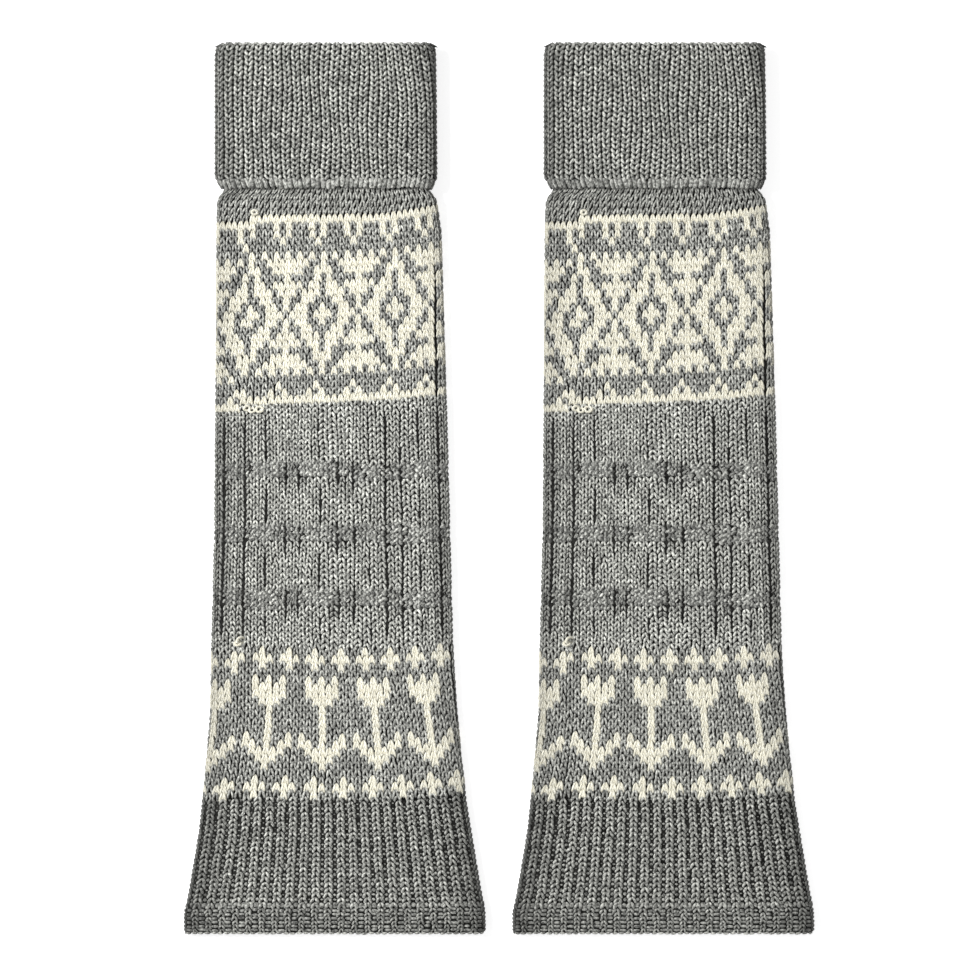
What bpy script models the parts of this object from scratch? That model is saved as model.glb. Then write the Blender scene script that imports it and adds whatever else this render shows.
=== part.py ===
"""Pair of boot warmers: two knit tubes laid flat side by side, seen from above.

Each warmer is four knitted pieces: a ribbed cuff that is turned down over the top, a shaft with
two patterned bands and a textured zone between them, a flared ribbing, and a rolled hem.
Sizes are in millimetres, +Y runs from hem to cuff, and the undersides lie flat at z = 0.
"""
import math
from collections import namedtuple

import bmesh
import bpy

MM = 0.001
SEAM_GAP = 0.3

# The pair lies symmetrically about x = 0.
WARMER_SPACING = 151.3
TOP_Y = 205.4
HEM_Y = -205.4

# Cloth: one wall, the slit between front and back wall, and the stacks that they make.
WALL = 2.2
SLIT = 0.6
STACK = 2 * WALL + SLIT
LAYER_STEP = WALL + SEAM_GAP
CUFF_STACK = STACK + 2 * LAYER_STEP
FOLD_RADIUS = (2 * WALL + SEAM_GAP) / 2

# The cuff's edge, the hidden seam inside it, and the seams further down.
CUFF_EDGE_Y = 137.1
RIM = 1.1
CUFF_SEAM_Y = 140.8
RIBBING_SEAM_Y = -143.3
HEM_SEAM_Y = -191.6

# Ribs across the front of the laid tube, and how deep the valleys between them are.
CUFF_RIBS = 21
CUFF_VALLEY = 0.9
RIBBING_RIBS = 22
RIBBING_VALLEY = 0.9
HEM_VALLEY = 0.35
FURROW_DEPTH = 0.75
DIMPLE_DEPTH = 0.6
DIMPLE_HALF = 3.4

# A side's round edge, in steps of points; each is a multiple of three, one rib's points.
CUFF_SIDE_STEPS = 9
TUBE_SIDE_STEPS = 6
PLAIN_SIDE_STEPS = 6
PLAIN_FRONT_STEPS = 4
BACK_STEPS = 3
SIDE_RELIEF_FROM = 0.3

# Where a rib's valley and the two shoulders of its crest lie, as shares of the rib's pitch.
RIB_SHARES = (0.0, 0.27, 0.73)
PANEL_SHARES = (0.0, 0.2, 0.8)

Edge = namedtuple("Edge", "y left right")
Level = namedtuple("Level", "y low high")
Ring = namedtuple("Ring", "y places points")

# Outline of the turned-down cuff, from its fold to its lower edge, about the warmer's own middle.
CUFF_OUTLINE = (
    Edge(205.4, -51.9, 44.7),
    Edge(204.5, -53.2, 45.7),
    Edge(203.6, -54.2, 46.1),
    Edge(201.7, -55.1, 47.0),
    Edge(199.0, -55.5, 47.1),
    Edge(143.8, -55.5, 47.5),
    Edge(141.0, -54.6, 47.0),
    Edge(138.2, -53.2, 45.7),
)

# Outline of the body, from inside the cuff through the shaft and the ribbing to the hem's end.
BODY_OUTLINE = (
    Edge(140.8, -52.0, 44.3),
    Edge(138.2, -50.7, 43.2),
    Edge(137.1, -51.2, 43.8),
    Edge(134.1, -53.7, 46.6),
    Edge(131.3, -54.6, 47.5),
    Edge(118.9, -55.1, 49.3),
    Edge(63.7, -55.3, 51.2),
    Edge(-19.1, -56.0, 53.5),
    Edge(-74.3, -57.4, 54.9),
    Edge(-101.9, -57.8, 56.7),
    Edge(-129.5, -60.1, 59.5),
    Edge(-143.3, -61.5, 60.8),
    Edge(-157.1, -62.9, 63.1),
    Edge(-184.7, -67.5, 67.7),
    Edge(-191.6, -68.9, 69.1),
    Edge(-195.0, -69.8, 69.6),
    Edge(-203.0, -69.8, 69.8),
    Edge(-205.4, -69.2, 68.6),
)

# Underside and top of the body's stack: lifted inside the cuff, then flat, then rolled at the hem.
BODY_LEVELS = (
    Level(140.8, LAYER_STEP, LAYER_STEP + STACK),
    Level(137.1, LAYER_STEP, LAYER_STEP + STACK),
    Level(134.1, 1.9, 7.2),
    Level(131.3, 1.2, 6.7),
    Level(127.2, 0.4, 6.0),
    Level(122.0, 0.0, 5.3),
    Level(112.0, 0.0, STACK),
    Level(-191.6, 0.0, STACK),
    Level(-195.0, 0.0, 5.6),
    Level(-203.0, 0.0, 5.6),
    Level(-205.4, 0.6, 4.6),
)

# The textured zone of the shaft, and the three rows of dimples that break its furrows.
TEXTURE_TOP_Y = 33.0
TEXTURE_END_Y = -66.0
TEXTURE_EASE = 4.0
DIMPLE_ROWS_Y = (9.0, -21.4, -50.4)

# The furrows between the shaft's panels, as shares of the laid tube's width.
FURROW_PLACES = (0.042, 0.131, 0.22, 0.305, 0.36, 0.449, 0.525, 0.593, 0.661, 0.729, 0.797, 0.873, 0.958)

SHAFT_RINGS_Y = (
    140.5, 138.2, 137.1, 134.1, 131.3, 127.2, 122.0, 112.0, 63.7, TEXTURE_TOP_Y + TEXTURE_EASE, TEXTURE_TOP_Y,
    TEXTURE_END_Y, TEXTURE_END_Y - TEXTURE_EASE, -101.9, -129.5, RIBBING_SEAM_Y + SEAM_GAP,
)
RIBBING_RINGS_Y = (RIBBING_SEAM_Y, -157.1, -171.0, -184.7, HEM_SEAM_Y + SEAM_GAP)
HEM_RINGS_Y = (HEM_SEAM_Y, -195.0, -203.0, HEM_Y)

GREY_YARN = (0.235, 0.24, 0.22, 1.0)
BAND_YARN = (0.42, 0.42, 0.37, 1.0)


def clear_scene():
    """Start from an empty file."""
    for item in list(bpy.data.objects):
        bpy.data.objects.remove(item, do_unlink=True)


def yarn(name, colour):
    """A matt knitted finish in one colour."""
    material = bpy.data.materials.new(name)
    material.use_nodes = True
    shader = material.node_tree.nodes["Principled BSDF"]
    shader.inputs["Base Color"].default_value = colour
    shader.inputs["Roughness"].default_value = 0.92
    shader.inputs["Metallic"].default_value = 0.0
    material.diffuse_color = colour
    return material


def between(rows, y):
    """The two values of a table's row at y, read straight between its rows, which run down in y."""
    if y >= rows[0].y:
        return rows[0][1:]
    for upper, lower in zip(rows, rows[1:]):
        if y >= lower.y:
            share = (upper.y - y) / (upper.y - lower.y)
            return tuple(a + (b - a) * share for a, b in zip(upper[1:], lower[1:]))
    return rows[-1][1:]


def ribbed_places(side_steps, ribs, shares):
    """Places round a ring: 0 to 1 up the left side, 1 to 2 over the front, 2 to 3 down the right."""
    places = [step / side_steps for step in range(side_steps)]
    places += [1 + (rib + share) / ribs for rib in range(ribs) for share in shares]
    places += [2 + step / side_steps for step in range(side_steps + 1)]
    return places + back_places()


def back_places():
    """Places along the flat underside, from 3 at the right to just short of 4 at the left."""
    return [3 + step / BACK_STEPS for step in range(1, BACK_STEPS)]


def panel_places(edges, stack):
    """Places round the shaft, with a furrow at each of the places that the photo's panels give."""
    left, right = edges
    flat = right - left - stack
    starts = [((right - left) * place - stack / 2) / flat for place in FURROW_PLACES]
    starts[0], starts[-1] = 0.0, 1.0
    places = [step / TUBE_SIDE_STEPS for step in range(TUBE_SIDE_STEPS)]
    for start, end in zip(starts, starts[1:]):
        places += [1 + start + (end - start) * share for share in PANEL_SHARES]
    places += [2 + step / TUBE_SIDE_STEPS for step in range(TUBE_SIDE_STEPS + 1)]
    return places + back_places()


def plain_places():
    """Places round a ring that has no ribs."""
    places = [step / PLAIN_SIDE_STEPS for step in range(PLAIN_SIDE_STEPS)]
    places += [1 + step / PLAIN_FRONT_STEPS for step in range(PLAIN_FRONT_STEPS)]
    places += [2 + step / PLAIN_SIDE_STEPS for step in range(PLAIN_SIDE_STEPS + 1)]
    return places + back_places()


def point_at(place, sunk, edges, levels):
    """One point (x, z) of a flattened ring, sunk below the surface where a valley runs."""
    left, right = edges
    low, high = levels
    radius = (high - low) / 2
    middle = (high + low) / 2
    if place <= 1:
        angle = math.pi * (1.5 - place)
        return left + radius + (radius - sunk) * math.cos(angle), middle + (radius - sunk) * math.sin(angle)
    if place < 2:
        return left + radius + (right - left - 2 * radius) * (place - 1), high - sunk
    if place <= 3:
        angle = math.pi * (2.5 - place)
        return right - radius + (radius - sunk) * math.cos(angle), middle + (radius - sunk) * math.sin(angle)
    return right - radius - (right - left - 2 * radius) * (place - 3), low


def ring(y, places, edges, levels, inset=0.0, sunk=None):
    """One closed ring at y, moved inwards by inset; sunk(index, place) gives the relief's depth."""
    left, right = edges
    low, high = levels
    inner_edges = (left + inset, right - inset)
    inner_levels = (low + inset, high - inset)
    depths = [sunk(index, place) if sunk else 0.0 for index, place in enumerate(places)]
    points = [point_at(place, depth, inner_edges, inner_levels) for place, depth in zip(places, depths)]
    return Ring(y, places, points)


def raised_part(place):
    """No relief on the underside or low on a side edge, and a rib's crest at a side's widest point."""
    if place > 3:
        return 0.0
    height = min(place, 3 - place)
    at_widest = abs(height - 0.5) < 0.01
    return 0.0 if height < SIDE_RELIEF_FROM or at_widest else 1.0


def rib_relief(depth):
    """Every third point of a ring is the valley between two ribs."""
    return lambda index, place: depth * raised_part(place) if index % 3 == 0 else 0.0


def join(bm, first, second, ring_a, ring_b):
    """Fill the strip between two rings: square faces where they match, triangles where they don't."""
    count_a, count_b = len(first), len(second)
    if ring_a.places == ring_b.places:
        for index in range(count_a):
            following = (index + 1) % count_a
            bm.faces.new((first[index], first[following], second[following], second[index]))
        return
    ends_a = list(ring_a.places[1:]) + [4.0]
    ends_b = list(ring_b.places[1:]) + [4.0]
    a = b = 0
    while a < count_a or b < count_b:
        take_a = b == count_b or (a < count_a and ends_a[a] <= ends_b[b])
        near_a, near_b = first[a % count_a], second[b % count_b]
        if take_a:
            bm.faces.new((near_a, first[(a + 1) % count_a], near_b))
            a += 1
        else:
            bm.faces.new((near_a, second[(b + 1) % count_b], near_b))
            b += 1


def knit_piece(name, rings, middle_x, material):
    """A closed wall of cloth: a chain of rings down its outside and back up its inside."""
    bm = bmesh.new()
    loops = [[bm.verts.new(((middle_x + x) * MM, item.y * MM, z * MM)) for x, z in item.points] for item in rings]
    for index in range(len(rings)):
        following = (index + 1) % len(rings)
        join(bm, loops[index], loops[following], rings[index], rings[following])
    bmesh.ops.triangulate(bm, faces=list(bm.faces))
    bmesh.ops.recalc_face_normals(bm, faces=list(bm.faces))
    if bm.calc_volume(signed=True) < 0:
        bmesh.ops.reverse_faces(bm, faces=list(bm.faces))
    mesh = bpy.data.meshes.new(name)
    bm.to_mesh(mesh)
    bm.free()
    mesh.materials.append(material)
    mesh.shade_smooth()
    mesh.set_sharp_from_angle(angle=math.radians(50))
    piece = bpy.data.objects.new(name, mesh)
    bpy.context.scene.collection.objects.link(piece)
    return piece


def fold_ring(angle, places, depth):
    """One ring of the cuff's fold: 0 on the outer leg, a quarter turn at the top, a half turn inside."""
    base_y = TOP_Y - FOLD_RADIUS
    y = base_y + FOLD_RADIUS * math.sin(angle)
    inset = FOLD_RADIUS * (1 - math.cos(angle))
    left, right = between(CUFF_OUTLINE, y)
    if angle > math.pi / 2:
        top_left, top_right = between(CUFF_OUTLINE, TOP_Y)
        base_left, base_right = between(CUFF_OUTLINE, base_y)
        turned = -math.cos(angle)
        left = top_left + (base_left + 2 * FOLD_RADIUS - top_left) * turned
        right = top_right + (base_right - 2 * FOLD_RADIUS - top_right) * turned
    return ring(y, places, (left, right), (inset, CUFF_STACK - inset), 0.0, rib_relief(depth))


def cuff_rings():
    """The turned-down cuff: outer leg up, over the fold, inner leg down, and back through the fold."""
    ribbed = ribbed_places(CUFF_SIDE_STEPS, CUFF_RIBS, RIB_SHARES)
    plain = plain_places()
    levels = (0.0, CUFF_STACK)
    edge_row = between(CUFF_OUTLINE, CUFF_EDGE_Y + RIM)
    base_y = TOP_Y - FOLD_RADIUS
    rings = [ring(CUFF_EDGE_Y, ribbed, edge_row, levels, RIM)]
    for y in (CUFF_EDGE_Y + RIM, 141.0, 143.8, 199.0):
        rings.append(ring(y, ribbed, between(CUFF_OUTLINE, y), levels, 0.0, rib_relief(CUFF_VALLEY)))
    for degrees, part in ((0, 1.0), (35, 0.9), (65, 0.6), (90, 0.3)):
        rings.append(fold_ring(math.radians(degrees), ribbed, CUFF_VALLEY * part))
    for degrees in (125, 180):
        rings.append(fold_ring(math.radians(degrees), plain, 0.0))
    for y in (199.0, 143.8, CUFF_SEAM_Y):
        rings.append(ring(y, plain, between(CUFF_OUTLINE, y), levels, LAYER_STEP + WALL))
    for y in (CUFF_SEAM_Y, 143.8, 199.0, base_y):
        rings.append(ring(y, plain, between(CUFF_OUTLINE, y), levels, LAYER_STEP))
    rings.append(ring(base_y + SEAM_GAP / 2, plain, between(CUFF_OUTLINE, base_y), levels, FOLD_RADIUS))
    for y in (base_y, 199.0, 143.8, 141.0, CUFF_EDGE_Y + RIM):
        rings.append(ring(y, plain, between(CUFF_OUTLINE, y), levels, WALL))
    return rings


def body_rings(heights, places_at, sunk_at):
    """A tube's outer rings from the top down, then its plain inner rings back up."""
    plain = plain_places()
    rings = []
    for y in heights:
        edges = between(BODY_OUTLINE, y)
        levels = between(BODY_LEVELS, y)
        rings.append(ring(y, places_at(edges, levels), edges, levels, 0.0, sunk_at(y)))
    for y in reversed(heights):
        edges = between(BODY_OUTLINE, y)
        low, high = between(BODY_LEVELS, y)
        wall = min(WALL, (high - low - SLIT) / 2)
        rings.append(ring(y, plain, edges, (low, high), wall))
    return rings


def furrow_strength(y):
    """Full in the textured zone, nothing outside it."""
    above = (TEXTURE_TOP_Y + TEXTURE_EASE - y) / TEXTURE_EASE
    below = (y - TEXTURE_END_Y + TEXTURE_EASE) / TEXTURE_EASE
    return max(0.0, min(1.0, above, below))


def texture_relief(y):
    """Furrows between the panels; in a row of dimples the furrows close and the panels sink."""
    in_dimples = any(abs(y - row_y) < DIMPLE_HALF / 2 for row_y in DIMPLE_ROWS_Y)
    furrow = 0.0 if in_dimples else FURROW_DEPTH * furrow_strength(y)
    panel = DIMPLE_DEPTH if in_dimples else 0.0

    def sunk(index, place):
        if place < 1 or place > 2:
            return 0.0
        return furrow if index % 3 == 0 else panel

    return sunk


def shaft_rings():
    """The shaft: smooth under its two patterned bands, with furrows and dimples between them."""
    dimple_heights = [row_y + step for row_y in DIMPLE_ROWS_Y for step in (-DIMPLE_HALF, 0.0, DIMPLE_HALF)]
    heights = sorted(SHAFT_RINGS_Y + tuple(dimple_heights), reverse=True)
    fixed_edges = between(BODY_OUTLINE, DIMPLE_ROWS_Y[0])
    places = panel_places(fixed_edges, STACK)
    return body_rings(heights, lambda edges, levels: places, texture_relief)


def rib_tube_rings(heights, depth):
    """Part of the flared ribbing or of the hem, with the ribs running from one into the other."""
    places = ribbed_places(TUBE_SIDE_STEPS, RIBBING_RIBS, RIB_SHARES)
    return body_rings(heights, lambda edges, levels: places, lambda y: rib_relief(depth))


def build_warmer(side, middle_x, grey, band):
    """The four pieces of one warmer."""
    knit_piece("cuff_" + side, cuff_rings(), middle_x, grey)
    knit_piece("shaft_" + side, shaft_rings(), middle_x, band)
    knit_piece("ribbing_" + side, rib_tube_rings(RIBBING_RINGS_Y, RIBBING_VALLEY), middle_x, grey)
    knit_piece("hem_" + side, rib_tube_rings(HEM_RINGS_Y, HEM_VALLEY), middle_x, grey)


def main():
    clear_scene()
    grey = yarn("grey_yarn", GREY_YARN)
    band = yarn("grey_and_cream_yarn", BAND_YARN)
    build_warmer("left", -WARMER_SPACING / 2, grey, band)
    build_warmer("right", WARMER_SPACING / 2, grey, band)


main()
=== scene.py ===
# %% [markdown]
# # A pair of knitted boot warmers, laid flat
#
# A boot warmer is a tube of knitting that is worn over the calf, above the boot. Each one has a ribbed
# cuff that is turned down, a shaft with two patterned bands and a textured zone between them, a flared
# ribbing and a tight hem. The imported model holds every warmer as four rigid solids. This script dresses
# them: thin shells of cloth take the solids' place, and every stitch that shows is laid on the shells as
# real yarn.

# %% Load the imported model
import math

import bmesh
import bpy
import numpy as np
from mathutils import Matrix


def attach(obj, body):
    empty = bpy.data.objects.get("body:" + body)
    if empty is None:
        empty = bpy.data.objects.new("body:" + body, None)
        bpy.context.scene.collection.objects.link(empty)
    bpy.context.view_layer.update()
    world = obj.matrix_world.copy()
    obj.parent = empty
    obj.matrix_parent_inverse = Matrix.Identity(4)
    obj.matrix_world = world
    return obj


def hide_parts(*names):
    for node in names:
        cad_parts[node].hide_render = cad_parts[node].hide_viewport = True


MM = 0.001
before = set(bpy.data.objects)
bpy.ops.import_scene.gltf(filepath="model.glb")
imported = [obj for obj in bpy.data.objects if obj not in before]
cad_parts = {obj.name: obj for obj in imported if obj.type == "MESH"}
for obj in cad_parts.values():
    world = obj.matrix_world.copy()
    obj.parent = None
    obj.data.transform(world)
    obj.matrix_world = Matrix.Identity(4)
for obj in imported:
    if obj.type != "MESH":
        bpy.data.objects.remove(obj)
bpy.ops.object.select_all(action="DESELECT")
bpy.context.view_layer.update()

# %% [markdown]
# ## The form of the cloth
#
# A laid tube is a long stadium in section: two flat walls joined by half circles. Its edges and its
# height change along its length, so they are kept as short tables in millimetres, with y running from the
# hem up to the cuff. The same tables made the solids. Every stitch can then be placed by two numbers: how
# far along the tube it is, and what share of the way from the left edge to the right one.

# %% Tables of the tube's edges and heights
WARMER_MIDDLES = {"left": -75.65, "right": 75.65}
CUFF_SEAM_Y = 140.8
CUFF_TOP_Y = 205.4
CUFF_HEIGHT = 10.0
FOLD_RADIUS = 2.35
FOLD_START_Y = CUFF_TOP_Y - FOLD_RADIUS

# y, left edge, right edge, from each warmer's own middle. Most rows were measured in the photo by a script.
CUFF_EDGES = (
    (205.4, -51.9, 44.7), (204.5, -53.2, 45.7), (203.6, -54.2, 46.1), (201.7, -55.1, 47.0),
    (199.0, -55.5, 47.1), (143.8, -55.5, 47.5), (141.0, -54.6, 47.0), (138.2, -53.2, 45.7),
)
BODY_EDGES = (
    (140.8, -52.0, 44.3), (138.2, -50.7, 43.2), (137.1, -51.2, 43.8), (134.1, -53.7, 46.6),
    (131.3, -54.6, 47.5), (118.9, -55.1, 49.3), (63.7, -55.3, 51.2), (-19.1, -56.0, 53.5),
    (-74.3, -57.4, 54.9), (-101.9, -57.8, 56.7), (-129.5, -60.1, 59.5), (-143.3, -61.5, 60.8),
    (-157.1, -62.9, 63.1), (-184.7, -67.5, 67.7), (-191.6, -68.9, 69.1), (-195.0, -69.8, 69.6),
    (-203.0, -69.8, 69.8), (-205.4, -69.2, 68.6),
)
# y, underside, top
BODY_LEVELS = (
    (140.8, 2.5, 7.5), (137.1, 2.5, 7.5), (134.1, 1.9, 7.2), (131.3, 1.2, 6.7), (127.2, 0.4, 6.0),
    (122.0, 0.0, 5.3), (112.0, 0.0, 5.0), (-191.6, 0.0, 5.0), (-195.0, 0.0, 5.6), (-203.0, 0.0, 5.6),
    (-205.4, 0.6, 4.6),
)


def read_table(table, y, column):
    """A table's value at y, read straight between its rows."""
    rows = np.array(table)[::-1]
    return np.interp(y, rows[:, 0], rows[:, column])


def tube_points(share, sink, under, left, right, low, high):
    """x and z on a laid tube, sunk below its outside; share 0 is its left edge and 1 its right one."""
    radius = (high - low) / 2
    quarter = radius * math.pi / 2
    flat = right - left - 2 * radius
    path = share * (flat + 2 * quarter)
    left_turn = np.minimum(path / radius, math.pi / 2)
    right_turn = np.minimum((flat + 2 * quarter - path) / radius, math.pi / 2)
    out = radius - sink
    x = left + radius + np.clip(path - quarter, 0, flat) - out * np.cos(left_turn) + out * np.cos(right_turn)
    rise = out * np.sin(left_turn) * np.sin(right_turn)
    return x, (high + low) / 2 + np.where(under, -rise, rise)


def body_surface(share, y, sink, under):
    """Points on the shaft, the ribbing and the hem."""
    left, right = read_table(BODY_EDGES, y, 1), read_table(BODY_EDGES, y, 2)
    low, high = read_table(BODY_LEVELS, y, 1), read_table(BODY_LEVELS, y, 2)
    x, z = tube_points(share, sink, under, left, right, low, high)
    return np.stack([x, y, z], axis=-1)


def cuff_surface(share, along, sink, under):
    """Points on the turned-down cuff; above the fold's start, along runs over the fold and into the cuff."""
    turn = np.clip((along - FOLD_START_Y) / FOLD_RADIUS, 0, math.pi)
    straight = np.minimum(along, FOLD_START_Y)
    outer_y = straight + FOLD_RADIUS * np.sin(turn)
    left, right = read_table(CUFF_EDGES, outer_y, 1), read_table(CUFF_EDGES, outer_y, 2)
    fold = FOLD_RADIUS * (1 - np.cos(turn))
    x, z = tube_points(share, sink * np.cos(turn), under, left, right, fold, CUFF_HEIGHT - fold)
    return np.stack([x, outer_y - sink * np.sin(turn), z], axis=-1)


print("widest, mm:", read_table(BODY_EDGES, -203.0, 2) - read_table(BODY_EDGES, -203.0, 1))

# %% [markdown]
# ## The yarns
#
# The grey yarn is a heather: light and dark fibres are spun together, so its colour changes every
# millimetre or so. The cream yarn is one colour and a little fuller. Both are plied, which shows as a
# fine slanting twist, and both have a soft sheen from loose fibres. A noise on Object coordinates mixes
# the fibres and a wave along each strand's own UV map gives the twist. An image of real yarn would be
# quicker, but noise has no seams and no edges.

# %% Materials
GREY_DARK = (0.11, 0.112, 0.103, 1.0)
GREY_LIGHT = (0.76, 0.765, 0.71, 1.0)
CREAM_DARK = (0.80, 0.76, 0.60, 1.0)
CREAM_LIGHT = (0.97, 0.95, 0.83, 1.0)
# Painted shade: the cloth behind the stitches is painted near black, as the shade that falls between them
GAP_SHADE_DARK = (0.008, 0.008, 0.0075, 1.0)
GAP_SHADE_LIGHT = (0.028, 0.028, 0.026, 1.0)
FIBRE_SCALE = 900.0
TWISTS = 4.0


def set_inputs(node, **inputs):
    """Sets some of a node's sockets by name, with underscores for spaces."""
    for name, value in inputs.items():
        node.inputs[name.replace("_", " ")].default_value = value
    return node


def add_node(tree, kind, **inputs):
    """A shader node, with some of its sockets set."""
    return set_inputs(tree.nodes.new(kind), **inputs)


def new_material(name):
    """A new material, its node tree and its shader."""
    material = bpy.data.materials.new(name)
    material.use_nodes = True
    return material, material.node_tree, material.node_tree.nodes["Principled BSDF"]


def fibre_colour(tree, dark, light, scale, low, high):
    """Two fibre colours mixed by a fine noise."""
    place = add_node(tree, "ShaderNodeTexCoord")
    noise = add_node(tree, "ShaderNodeTexNoise", Scale=scale, Detail=3.0, Roughness=0.6)
    ramp = add_node(tree, "ShaderNodeValToRGB")
    ramp.color_ramp.elements[0].position = low
    ramp.color_ramp.elements[1].position = high
    ramp.color_ramp.elements[0].color = dark
    ramp.color_ramp.elements[1].color = light
    tree.links.new(place.outputs["Object"], noise.inputs["Vector"])
    tree.links.new(noise.outputs["Fac"], ramp.inputs["Fac"])
    return ramp.outputs["Color"], noise.outputs["Fac"]


def yarn_material(name, dark, light, sheen):
    """A plied yarn: mixed fibres, a twist along the strand, and each stitch's shade: a random tone of its own
    times painted shade and light.
    """
    material, tree, shader = new_material(name)
    colour, fibre = fibre_colour(tree, dark, light, FIBRE_SCALE, low=0.36, high=0.64)
    # The shade attribute: each stitch's random tone, times the painted shade and light laid on it
    shade = add_node(tree, "ShaderNodeAttribute")
    shade.attribute_name = "shade"
    tint = add_node(tree, "ShaderNodeMix")
    tint.data_type = "RGBA"
    tint.blend_type = "MULTIPLY"
    tint.inputs["Factor"].default_value = 1.0
    tree.links.new(colour, tint.inputs[6])
    tree.links.new(shade.outputs["Color"], tint.inputs[7])
    tree.links.new(tint.outputs[2], shader.inputs["Base Color"])
    strand = add_node(tree, "ShaderNodeUVMap")
    strand.uv_map = "strand"
    wave = add_node(tree, "ShaderNodeTexWave", Scale=TWISTS, Distortion=0.6, Detail=1.0)
    wave.bands_direction = "DIAGONAL"
    mix = add_node(tree, "ShaderNodeMath")
    mix.operation = "ADD"
    bump = add_node(tree, "ShaderNodeBump", Strength=0.8, Distance=0.0003)
    tree.links.new(strand.outputs["UV"], wave.inputs["Vector"])
    tree.links.new(wave.outputs["Fac"], mix.inputs[0])
    tree.links.new(fibre, mix.inputs[1])
    tree.links.new(mix.outputs[0], bump.inputs["Height"])
    tree.links.new(bump.outputs["Normal"], shader.inputs["Normal"])
    set_inputs(shader, Roughness=0.62, Specular_IOR_Level=0.3, Sheen_Weight=sheen, Sheen_Roughness=0.45)
    return material


def gap_shade_material(name):
    """Painted shade: the cloth behind the stitches, near black as the shade that falls between them."""
    material, tree, shader = new_material(name)
    colour, fibre = fibre_colour(tree, GAP_SHADE_DARK, GAP_SHADE_LIGHT, FIBRE_SCALE / 2, low=0.35, high=0.65)
    bump = add_node(tree, "ShaderNodeBump", Strength=0.4, Distance=0.0002)
    tree.links.new(colour, shader.inputs["Base Color"])
    tree.links.new(fibre, bump.inputs["Height"])
    tree.links.new(bump.outputs["Normal"], shader.inputs["Normal"])
    set_inputs(shader, Roughness=0.95, Specular_IOR_Level=0.0)
    return material


grey_yarn = yarn_material("grey_heather_yarn", GREY_DARK, GREY_LIGHT, 0.2)
cream_yarn = yarn_material("cream_yarn", CREAM_DARK, CREAM_LIGHT, 0.25)
painted_shade_cloth = gap_shade_material("inside_of_the_cloth_painted_shade")
print("materials:", [material.name for material in bpy.data.materials])

# %% [markdown]
# ## Thin shells of cloth
#
# Behind the stitches the cloth is a closed tube of thread. One circle is pulled apart into a stadium and
# extruded ring by ring along the warmer; at each ring its two halves move to the tube's edges and take
# the tube's height. A Solidify modifier then gives the wall. Lofting through curves would do the same,
# but extruding keeps the number of faces small and each ring where the table says.

# %% Tools for shaping in edit mode
SHELL_INSET = 1.15
SHELL_WALL = 1.0
RING_POINTS = 18


def select_points(piece, wanted):
    """Selects the points of a mesh whose numbers are wanted, and what lies between them."""
    bpy.ops.mesh.select_all(action="DESELECT")
    shape = bmesh.from_edit_mesh(piece.data)
    for point in shape.verts:
        if point.index in wanted:
            point.select = True
    shape.select_flush(True)
    bmesh.update_edit_mesh(piece.data)


def selected_points(piece):
    """The numbers and places of the selected points."""
    shape = bmesh.from_edit_mesh(piece.data)
    return {point.index: point.co.copy() for point in shape.verts if point.select}


def fit_ring(piece, ring, middle_x, edges, levels):
    """Moves a ring's two halves to the tube's edges and scales them to its height."""
    radius = (levels[1] - levels[0]) / 2
    for side, edge in ((-1, edges[0]), (1, edges[1])):
        half = {number: place for number, place in ring.items() if (place.x - middle_x) * side > 0}
        xs = [place.x for place in half.values()]
        zs = [place.z for place in half.values()]
        old_radius = (max(zs) - min(zs)) / 2 / math.cos(math.pi / RING_POINTS)
        old_x = (max(xs) - old_radius) if side > 0 else (min(xs) + old_radius)
        old_z = (max(zs) + min(zs)) / 2
        target_x = (edge - side * radius) * MM + middle_x
        target_z = (levels[0] + levels[1]) / 2 * MM
        factor = radius * MM / old_radius
        select_points(piece, half)
        bpy.ops.transform.resize(value=(factor, 1, factor), center_override=(old_x, 0, old_z))
        bpy.ops.transform.translate(value=(target_x - old_x, 0, target_z - old_z))


def cloth_tube(name, middle, rings):
    """A closed thin tube through rings of (y, left, right, low, high), in millimetres."""
    middle_x = middle * MM
    first = rings[0]
    bpy.ops.mesh.primitive_circle_add(
        vertices=RING_POINTS, radius=(first[4] - first[3]) / 2 * MM,
        rotation=(math.pi / 2, math.pi / RING_POINTS, 0),
        location=(middle_x, first[0] * MM, (first[3] + first[4]) / 2 * MM),
    )
    piece = bpy.context.object
    piece.name = name
    piece.data.name = name
    bpy.ops.object.transform_apply(location=True, rotation=True, scale=True)
    bpy.ops.object.mode_set(mode="EDIT")
    bpy.ops.mesh.select_all(action="SELECT")
    for number, (y, left, right, low, high) in enumerate(rings):
        if number:
            step = (0, (y - rings[number - 1][0]) * MM, 0)
            select_points(piece, ring)
            bpy.ops.mesh.extrude_region_move(TRANSFORM_OT_translate={"value": step})
        ring = selected_points(piece)
        fit_ring(piece, ring, middle_x, (left, right), (low, high))
    bpy.ops.mesh.select_all(action="SELECT")
    shape = bmesh.from_edit_mesh(piece.data)
    top_face = max(shape.faces, key=lambda face: face.calc_center_median().z)
    if top_face.normal.z < 0:
        bpy.ops.mesh.flip_normals()
    bpy.ops.object.mode_set(mode="OBJECT")
    bpy.ops.object.modifier_add(type="SOLIDIFY")
    piece.modifiers[-1].thickness = SHELL_WALL * MM
    piece.modifiers[-1].offset = -1
    bpy.ops.object.modifier_apply(modifier=piece.modifiers[-1].name)
    bpy.ops.object.shade_smooth()
    # The shells carry the painted shade that shows between the stitches
    piece.data.materials.append(painted_shade_cloth)
    piece.select_set(False)
    return piece


# %% Shells of the body
SHAFT_RINGS_Y = (
    140.5, 138.2, 137.1, 134.1, 131.3, 127.2, 122.0, 112.0, 63.7, -19.1, -74.3, -101.9, -129.5, -143.0,
)
RIBBING_RINGS_Y = (-143.3, -157.1, -171.0, -184.7, -191.3)
HEM_RINGS_Y = (-191.6, -195.0, -203.0, -204.6)


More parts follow.
